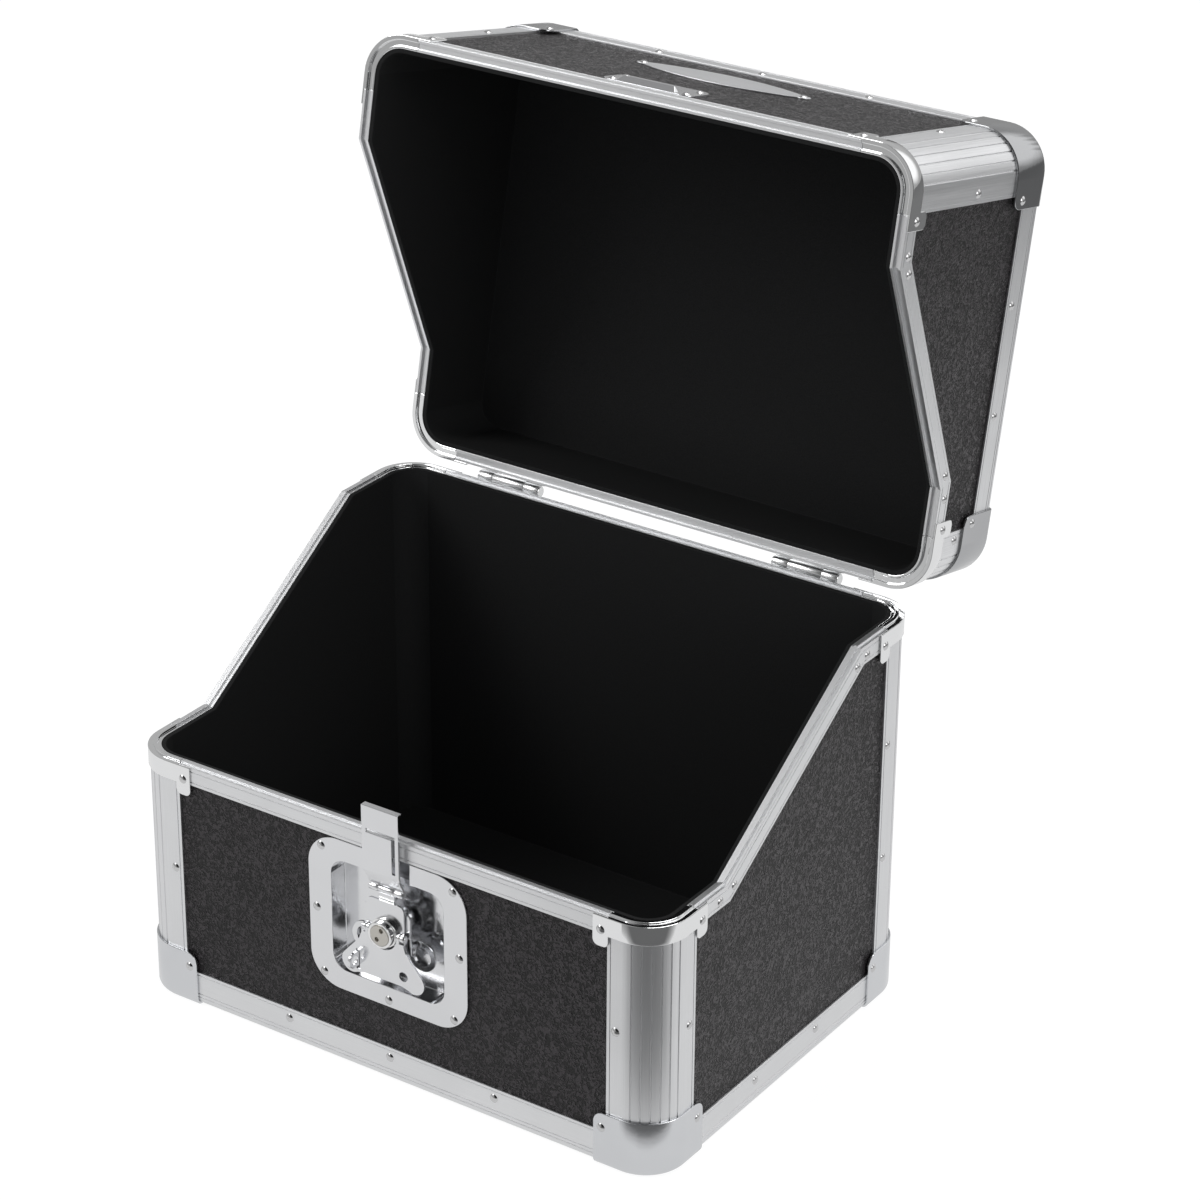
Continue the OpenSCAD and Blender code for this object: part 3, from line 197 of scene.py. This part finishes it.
def make_handling_group():
    """Broad smudges and fine scuffs that handling leaves on metal, as masks from 0 to 1."""
    group, start, end = new_group(
        "handling marks",
        [("Vector", "NodeSocketVector", (0, 0, 0)), ("Amount", "NodeSocketFloat", 0.5)],
        [("Smudge", "NodeSocketFloat"), ("Scuff", "NodeSocketFloat")],
    )
    place = start.outputs["Vector"]
    amount = start.outputs["Amount"]
    broad = noise(group, place, SMUDGE_SCALE, detail=4.0, distortion=0.6, roughness=0.55)
    smudge = rise(group, broad, start=0.38, steepness=3.0)
    smudge = math_node(group, "MULTIPLY", smudge, amount)
    fine = noise(group, place, SCUFF_SCALE, detail=3.0, distortion=0.3, roughness=0.7)
    scuff = rise(group, fine, start=0.62, steepness=9.0)
    patch = noise(group, place, SCUFFED_PATCH_SCALE)
    patch = rise(group, patch, start=0.5, steepness=5.0)
    scuff = math_node(group, "MULTIPLY", scuff, patch)
    scuff = math_node(group, "MULTIPLY", scuff, amount)
    group.links.new(smudge, end.inputs["Smudge"])
    group.links.new(scuff, end.inputs["Scuff"])
    return group


grain_group = make_grain_group()
handling_group = make_handling_group()


def use_group(tree, group, **values):
    """Places a group in a material; values go to the inputs of the same names."""
    node = tree.nodes.new("ShaderNodeGroup")
    node.node_tree = group
    for label, value in values.items():
        socket = node.inputs[label]
        if isinstance(value, (int, float)):
            socket.default_value = value
        else:
            tree.links.new(value, socket)
    return node.outputs


def new_material(name):
    material = bpy.data.materials.new(name)
    material.use_nodes = True
    shader = material.node_tree.nodes["Principled BSDF"]
    return material, material.node_tree, shader


def add_bump(tree, shader, height, distance):
    """Relief in the shading; distance is how high a height of 1 stands, in metres."""
    bump = tree.nodes.new("ShaderNodeBump")
    bump.inputs["Distance"].default_value = distance
    bump.inputs["Strength"].default_value = 1.0
    tree.links.new(height, bump.inputs["Height"])
    tree.links.new(bump.outputs["Normal"], shader.inputs["Normal"])


# ---- the case's materials ----

# Painted shade and light: the grain's valleys are coloured near black as shade, and its ridge tops
# paler as if lit
SHADED_VALLEY_DARK = (0.0016, 0.0014, 0.0015)
SHADED_VALLEY_PALE = (0.0030, 0.0026, 0.0028)
LIT_RIDGE_COLOUR = (0.0255, 0.0212, 0.0240)
VALLEY_ROUGHNESS = (0.50, 0.50, 0.50)


def laminate_material():
    """Charcoal laminate over plywood, embossed with crooked ridges; its colour has painted shade in
    the valleys and painted light on the ridge tops.
    """
    material, tree, shader = new_material("black laminate")
    place = object_place(tree)
    grain = use_group(tree, grain_group, Vector=place)
    cloud = noise(tree, place, 9.0, detail=3.0, distortion=0.3)
    shaded_valley = mix_colour(tree, cloud, SHADED_VALLEY_DARK, SHADED_VALLEY_PALE)
    # Painted light: the ridge mask lays the pale lit colour on the ridge tops over the painted shade
    # of the valleys
    colour = mix_colour(tree, grain["Ridge"], shaded_valley, LIT_RIDGE_COLOUR)
    tree.links.new(colour, shader.inputs["Base Color"])
    ridge_rough = ramp(tree, grain["Tooth"], [(0.3, 0.24), (0.56, 0.30), (0.66, 0.12)])
    rough = mix_colour(tree, grain["Ridge"], VALLEY_ROUGHNESS, ridge_rough)
    tree.links.new(rough, shader.inputs["Roughness"])
    shader.inputs["Specular IOR Level"].default_value = 0.36
    add_bump(tree, shader, grain["Height"], 0.8 * MM)
    return material


NAP_DARK = (0.008, 0.0082, 0.0083)
NAP_MIDDLE = (0.011, 0.0112, 0.0113)
NAP_PALE = (0.014, 0.0142, 0.0143)


def lining_material():
    """Matt black lining sheet with a short felt-like nap."""
    material, tree, shader = new_material("black lining")
    place = object_place(tree)
    nap = noise(tree, place, 1400.0, detail=3.0, distortion=0.2, roughness=0.7)
    cloud = noise(tree, place, 12.0)
    colour = ramp(tree, nap, [(0.3, NAP_DARK), (0.7, NAP_PALE)])
    colour = mix_colour(tree, cloud, colour, NAP_MIDDLE)
    tree.links.new(colour, shader.inputs["Base Color"])
    rough = ramp(tree, nap, [(0.3, 0.95), (0.7, 0.82)])
    tree.links.new(rough, shader.inputs["Roughness"])
    shader.inputs["Specular IOR Level"].default_value = 0.22
    add_bump(tree, shader, nap, 0.12 * MM)
    return material


SATIN_DULL = (0.74, 0.745, 0.755)
SATIN_PALE = (0.83, 0.835, 0.845)
# Painted light: the lid's edging is the same aluminium as the base's, given a paler colour as if lit
# more
LID_LIT_PALE = (0.96, 0.965, 0.975)
SATIN_ROUGHNESS = 0.33


def aluminium_material(name, stretch, turn=(0, 0, 0), pale=SATIN_PALE):
    """Satin anodised aluminium with fine drawn lines, turned and stretched along their length."""
    material, tree, shader = new_material(name)
    place = object_place(tree)
    draw = noise(tree, mapped(tree, place, stretch, turn), 1.0, detail=3.0, roughness=0.6)
    marks = use_group(tree, handling_group, Vector=place, Amount=0.5)
    smudge = marks["Smudge"]
    colour = ramp(tree, draw, [(0.25, SATIN_DULL), (0.75, pale)])
    colour = mix_colour(tree, smudge, colour, SATIN_DULL)
    tree.links.new(colour, shader.inputs["Base Color"])
    shader.inputs["Metallic"].default_value = 1.0
    rough = add_shares(tree, SATIN_ROUGHNESS, (draw, 0.12), (smudge, 0.08), (marks["Scuff"], 0.2))
    tree.links.new(rough, shader.inputs["Roughness"])
    add_bump(tree, shader, draw, 0.02 * MM)
    return material


def plated_material(name, colour, shine, smudge, wave):
    """Plated steel: shine is its roughness, wave the height of its slow ripples in metres."""
    material, tree, shader = new_material(name)
    place = object_place(tree)
    marks = use_group(tree, handling_group, Vector=place, Amount=smudge)
    dull = tuple(0.9 * value for value in colour)
    tint = mix_colour(tree, marks["Smudge"], colour, dull)
    tree.links.new(tint, shader.inputs["Base Color"])
    shader.inputs["Metallic"].default_value = 1.0
    rough = add_shares(tree, shine, (marks["Smudge"], 0.10), (marks["Scuff"], 0.25))
    tree.links.new(rough, shader.inputs["Roughness"])
    ripple = noise(tree, place, 110.0, distortion=0.2)
    add_bump(tree, shader, ripple, wave)
    return material


GRIP_DARK = (0.010, 0.010, 0.010)
GRIP_PALE = (0.020, 0.020, 0.021)


def grip_material():
    """Black moulded grip with a fine matt grain."""
    material, tree, shader = new_material("black grip")
    place = object_place(tree)
    pebble = noise(tree, place, 1500.0, distortion=0.3, roughness=0.6)
    colour = ramp(tree, pebble, [(0.3, GRIP_DARK), (0.7, GRIP_PALE)])
    tree.links.new(colour, shader.inputs["Base Color"])
    rough = ramp(tree, pebble, [(0.3, 0.62), (0.7, 0.48)])
    tree.links.new(rough, shader.inputs["Roughness"])
    add_bump(tree, shader, pebble, 0.10 * MM)
    return material


# Drawn lines to the metre: few along the length of the piece, many across it
ALONG = 25
ACROSS = 3200
ALONG_X = (ALONG, ACROSS, ACROSS)
ALONG_Y = (ACROSS, ALONG, ACROSS)
ALONG_Z = (ACROSS, ACROSS, ALONG)
# The lid's pieces lie turned with the open lid, and so do their drawn lines
LID_TURN = (math.radians(102), 0, 0)

laminate = laminate_material()
lining = lining_material()
edging_x = aluminium_material("edging drawn along x", ALONG_X)
edging_y = aluminium_material("edging drawn along y", ALONG_Y)
edging_z = aluminium_material("edging drawn along z", ALONG_Z)
# Painted light: the lid's edging takes the paler lit colour
lid_edging_y = aluminium_material("lid edging drawn along y", ALONG_Y, LID_TURN, LID_LIT_PALE)
lid_edging_z = aluminium_material("lid edging drawn along z", ALONG_Z, LID_TURN, LID_LIT_PALE)
badge_metal = aluminium_material("badge sheet", ALONG_X)
chrome = plated_material("bright plate", (0.86, 0.865, 0.87), 0.07, 0.25, 0.04 * MM)
cup_steel = plated_material("cup steel", (0.70, 0.71, 0.73), 0.15, 0.45, 0.10 * MM)
# Painted shade: the lid's cups are the same steel as the base's cups, coloured darker as if in shade
shaded_lid_cup_steel = plated_material("lid cup steel", (0.46, 0.465, 0.475), 0.12, 0.45, 0.10 * MM)
latch_steel = plated_material("latch plate", (0.76, 0.765, 0.78), 0.13, 0.40, 0.08 * MM)
lock_chrome = plated_material("lock metal", (0.84, 0.84, 0.84), 0.09, 0.30, 0.02 * MM)
lock_face = plated_material("lock plug face", (0.56, 0.54, 0.50), 0.26, 0.50, 0.03 * MM)
hinge_steel = plated_material("hinge steel", (0.78, 0.785, 0.79), 0.22, 0.45, 0.05 * MM)
rivet_steel = plated_material("rivet steel", (0.62, 0.62, 0.625), 0.10, 0.30, 0.02 * MM)
grip = grip_material()

FINISHES = {
    laminate: [
        "base_front_panel", "base_rear_panel", "base_left_panel", "base_right_panel",
        "base_floor_panel", "lid_front_panel", "lid_rear_panel", "lid_left_panel",
        "lid_right_panel", "lid_top_panel",
    ],
    lining: ["base_lining", "lid_lining"],
    edging_x: [
        "base_edges_long", "base_rim_front", "base_rim_rear", "lid_edges_long", "lid_rim_front",
        "lid_rim_rear",
    ],
    edging_y: ["base_edges_short", "base_rim_left", "base_rim_right"],
    edging_z: ["base_posts_front", "base_posts_rear"],
    lid_edging_y: ["lid_edges_short", "lid_rim_left", "lid_rim_right"],
    lid_edging_z: ["lid_posts_front", "lid_posts_rear"],
    badge_metal: ["badge_plate"],
    chrome: ["base_rim_corners", "lid_rim_corners"],
    cup_steel: ["base_cups_front", "base_cups_rear"],
    shaded_lid_cup_steel: ["lid_cups"],
    latch_steel: [
        "latch_dish", "latch_rotor", "latch_spindle_ring", "latch_yoke", "latch_tongue",
        "tongue_pin", "hasp_leaf", "hasp_flap", "hasp_pins", "latch_keeper",
    ],
    lock_chrome: ["lock_cylinder"],
    lock_face: ["lock_plug"],
    hinge_steel: [
        "hinge_base_leaves", "hinge_lid_leaves", "hinge_pins", "handle_plate", "handle_bail",
    ],
    rivet_steel: [
        "base_rivets", "latch_dish_rivets", "hinge_base_rivets", "hinge_lid_rivets", "lid_rivets",
    ],
    grip: ["handle_grip"],
}


def finish_nodes():
    for material, names in FINISHES.items():
        for name in names:
            node = nodes[name]
            if not node.material_slots:
                node.data.materials.append(material)
            for place in node.material_slots:
                place.material = material


# ---- softened edges ----

# Widths in millimetres to which the edges of the modelled nodes are rounded
SOFTENED = {
    0.45: [
        "base_rim_front", "base_rim_rear", "base_rim_left", "base_rim_right", "lid_rim_front",
        "lid_rim_rear", "lid_rim_left", "lid_rim_right", "handle_plate",
    ],
    0.35: [
        "base_cups_front", "base_cups_rear", "lid_cups", "base_rim_corners", "lid_rim_corners",
        "latch_dish", "latch_keeper", "latch_tongue", "latch_yoke", "latch_rotor", "hasp_leaf",
        "hasp_flap", "lock_cylinder", "lock_plug",
    ],
    0.25: [
        "badge_plate", "hinge_base_leaves", "hinge_lid_leaves", "base_edges_long",
        "base_edges_short", "lid_edges_long", "lid_edges_short",
    ],
    0.6: ["base_lining", "lid_lining"],
}
WELD_REACH = 0.002 * MM
# Faces that meet at less than the first angle are one face, at more than the second an edge
FLAT_ANGLE = math.radians(0.6)
EDGE_ANGLE = math.radians(32)


def soften_nodes():
    """Rounds the sharp edges of the metal and of the lining, as worked sheet has them."""
    for width, names in SOFTENED.items():
        for name in names:
            node = nodes[name]
            weld = node.modifiers.new("weld", "WELD")
            weld.merge_threshold = WELD_REACH
            flat = node.modifiers.new("flat", "DECIMATE")
            flat.decimate_type = "DISSOLVE"
            flat.angle_limit = FLAT_ANGLE
            bevel = node.modifiers.new("bevel", "BEVEL")
            bevel.width = width * MM
            bevel.segments = 2
            bevel.limit_method = "ANGLE"
            bevel.angle_limit = EDGE_ANGLE
            bevel.use_clamp_overlap = True
            bevel.harden_normals = False


# ---- floor, lamps and white background ----

WHITE = (1, 1, 1)
FLOOR_SIZE = 12.0
# Directions from the case: the dark camera end, the soft box, and ways over the floor
DARK_END = Vector((0.50, -0.72, 0.62))
SOFT_BOX_END = Vector((0.42, 0.745, 0.50))
REAR_END = Vector((0.66, 0.75, 0.0))
CAMERA_END = Vector((0.56, -0.83, 0.0))
CAMERA_SIDE = Vector((0.83, 0.56, 0.0))
# The case's nearest corner along the last two, in metres, where the dark strip starts
CORNER_AHEAD = 0.275
CORNER_ASIDE = 0.047
# Least distance that the strip's slope is divided by, in metres
LEAST_AHEAD = 0.01
# Scales that bring distances and slopes to the ramps' range from 0 to 1
FLOOR_REACH = 2.0
WIDEST_SPREAD = 4.0
# The floor's white: its strength, and its share to the camera and in a mirroring surface
FLOOR_WHITE = 1.1
CAMERA_SHARE = 0.82
MIRRORED_SHARE = 0.93
SOFT_BOX_LIGHT = (1.15, 1.15, 1.15)
ROOM_LIGHT = (0.45, 0.46, 0.48)


def seen_directly(tree):
    """1 for camera, glossy and transmission rays, which see the white background."""
    path = tree.nodes.new("ShaderNodeLightPath")
    seen = math_node(tree, "MAXIMUM", path.outputs["Is Camera Ray"], path.outputs["Is Glossy Ray"])
    return path, math_node(tree, "MAXIMUM", seen, path.outputs["Is Transmission Ray"])


def along(tree, vector, direction):
    """How far a place or direction lies along another direction."""
    node = tree.nodes.new("ShaderNodeVectorMath")
    node.operation = "DOT_PRODUCT"
    node.inputs[1].default_value = direction.normalized()
    tree.links.new(vector, node.inputs[0])
    return node.outputs["Value"]


def times(tree, first, second):
    """The product of two colours or masks."""
    node = tree.nodes.new("ShaderNodeVectorMath")
    node.operation = "MULTIPLY"
    tree.links.new(first, node.inputs[0])
    tree.links.new(second, node.inputs[1])
    return node.outputs["Vector"]


def make_floor():
    """Pale floor: white to the camera; metal mirrors its far end and a strip to the front as dark."""
    bpy.ops.object.select_all(action="DESELECT")
    bpy.ops.mesh.primitive_plane_add(size=FLOOR_SIZE, location=(0, 0, 0))
    floor = bpy.context.object
    floor.name = "floor"
    material, tree, shader = new_material("pale floor")
    place = object_place(tree)
    speck = noise(tree, place, 40.0, detail=3.0)
    tree.links.new(ramp(tree, speck, [(0.3, 0.88), (0.7, 0.91)]), shader.inputs["Base Color"])
    shader.inputs["Roughness"].default_value = 0.9
    shader.inputs["Specular IOR Level"].default_value = 0.0
    path, seen = seen_directly(tree)
    in_mirror = path.outputs["Is Glossy Ray"]
    to_rear = math_node(tree, "DIVIDE", along(tree, place, REAR_END), FLOOR_REACH)
    far_rear = ramp(tree, to_rear, [(0.62, 1.0), (0.70, 0.18)])
    ahead = math_node(tree, "SUBTRACT", along(tree, place, CAMERA_END), CORNER_AHEAD)
    aside = math_node(tree, "SUBTRACT", along(tree, place, CAMERA_SIDE), CORNER_ASIDE)
    aside = math_node(tree, "ABSOLUTE", aside)
    spread = math_node(tree, "DIVIDE", aside, math_node(tree, "MAXIMUM", ahead, LEAST_AHEAD))
    spread = math_node(tree, "DIVIDE", spread, WIDEST_SPREAD)
    outside_strip = ramp(tree, spread, [(0.25, 0.0), (0.62, 1.0)])
    close_by = ramp(tree, ahead, [(0.03, 1.0), (0.10, 0.0)])
    bright = math_node(tree, "MAXIMUM", outside_strip, close_by)
    far_front = ramp(tree, bright, [(0.0, 0.08), (1.0, 0.74)])
    white = tree.nodes.new("ShaderNodeEmission")
    shown = mix_colour(tree, in_mirror, WHITE, times(tree, far_rear, far_front))
    tree.links.new(shown, white.inputs["Color"])
    white.inputs["Strength"].default_value = FLOOR_WHITE
    share = ramp(tree, in_mirror, [(0.0, CAMERA_SHARE), (1.0, MIRRORED_SHARE)])
    blend = tree.nodes.new("ShaderNodeMixShader")
    tree.links.new(math_node(tree, "MULTIPLY", seen, share), blend.inputs["Fac"])
    tree.links.new(shader.outputs[0], blend.inputs[1])
    tree.links.new(white.outputs[0], blend.inputs[2])
    tree.links.new(blend.outputs[0], tree.nodes["Material Output"].inputs["Surface"])
    floor.data.materials.append(material)


def make_world():
    """White to the camera; metal mirrors a grey studio with one soft box and a dark end."""
    world = bpy.data.worlds.new("studio")
    bpy.context.scene.world = world
    world.use_nodes = True
    tree = world.node_tree
    background = tree.nodes["Background"]
    path, seen = seen_directly(tree)
    place = tree.nodes.new("ShaderNodeTexCoord").outputs["Generated"]
    height = along(tree, place, Vector((0, 0, 1)))
    up = ramp(tree, height, [(0.0, 0.40), (0.25, 0.50), (0.6, 0.45), (1.0, 0.25)])
    box = ramp(tree, along(tree, place, SOFT_BOX_END), [(0.84, 0.0), (0.93, 1.0)])
    dark = ramp(tree, along(tree, place, DARK_END), [(0.66, 1.0), (0.86, 0.03)])
    studio = mix_colour(tree, box, times(tree, up, dark), SOFT_BOX_LIGHT)
    shown = mix_colour(tree, path.outputs["Is Glossy Ray"], WHITE, studio)
    level = mix_colour(tree, seen, ROOM_LIGHT, shown)
    tree.links.new(level, background.inputs["Color"])
    background.inputs["Strength"].default_value = 1.0


def add_lamp(name, place, target, size, power):
    """A rectangular lamp that points at the target; size in metres, power in watts."""
    data = bpy.data.lights.new(name, "AREA")
    data.shape = "RECTANGLE"
    data.size, data.size_y = size
    data.energy = power
    lamp = bpy.data.objects.new(name, data)
    bpy.context.scene.collection.objects.link(lamp)
    lamp.location = place
    direction = Vector(target) - Vector(place)
    lamp.rotation_mode = "QUATERNION"
    lamp.rotation_quaternion = direction.to_track_quat("-Z", "Y")


def make_lamps():
    middle = (0, 0, 0.35)
    add_lamp("key lamp", (-1.9, -1.6, 2.3), middle, (1.6, 1.6), 34)
    add_lamp("fill lamp", (2.4, -0.6, 1.5), middle, (1.4, 1.8), 18)
    add_lamp("top lamp", (0.2, 0.9, 2.8), middle, (1.8, 1.2), 26)


# ---- putting it together ----

finish_nodes()
soften_nodes()
make_camera()
make_floor()
make_world()
make_lamps()
bpy.context.scene.view_settings.view_transform = "Standard"
